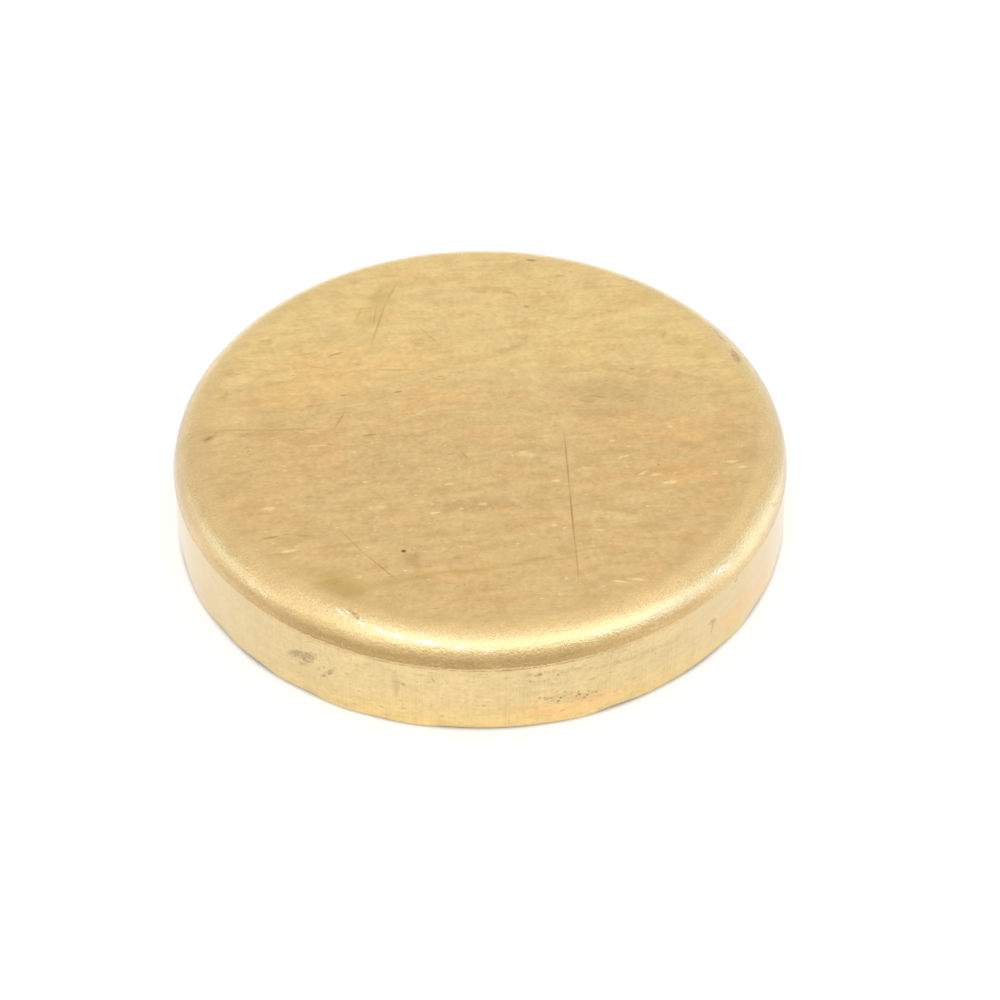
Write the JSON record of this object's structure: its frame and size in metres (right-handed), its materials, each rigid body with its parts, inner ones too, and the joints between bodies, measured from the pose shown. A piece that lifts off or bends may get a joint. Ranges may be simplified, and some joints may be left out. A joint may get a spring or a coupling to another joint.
{
  "type": "pipe cap",
  "caption": "Shallow round pressed brass cap: a cup with a flat closed end, a rounded corner and a short straight wall, for closing the end of a pipe.",
  "frame": {"origin": "centre of the open mouth, level with the rim that the cap stands on", "axes": "+Z along the cap's axis, towards the closed end; X and Y lie in the plane of the rim"},
  "size_m": [0.0508, 0.0508, 0.0095],
  "materials": {
    "brass": "mill-rolled sheet, drawn and part burnished, satin"
  },
  "bodies": {
    "root": {"cap_shell": "brass"}
  },
  "joints": []
}
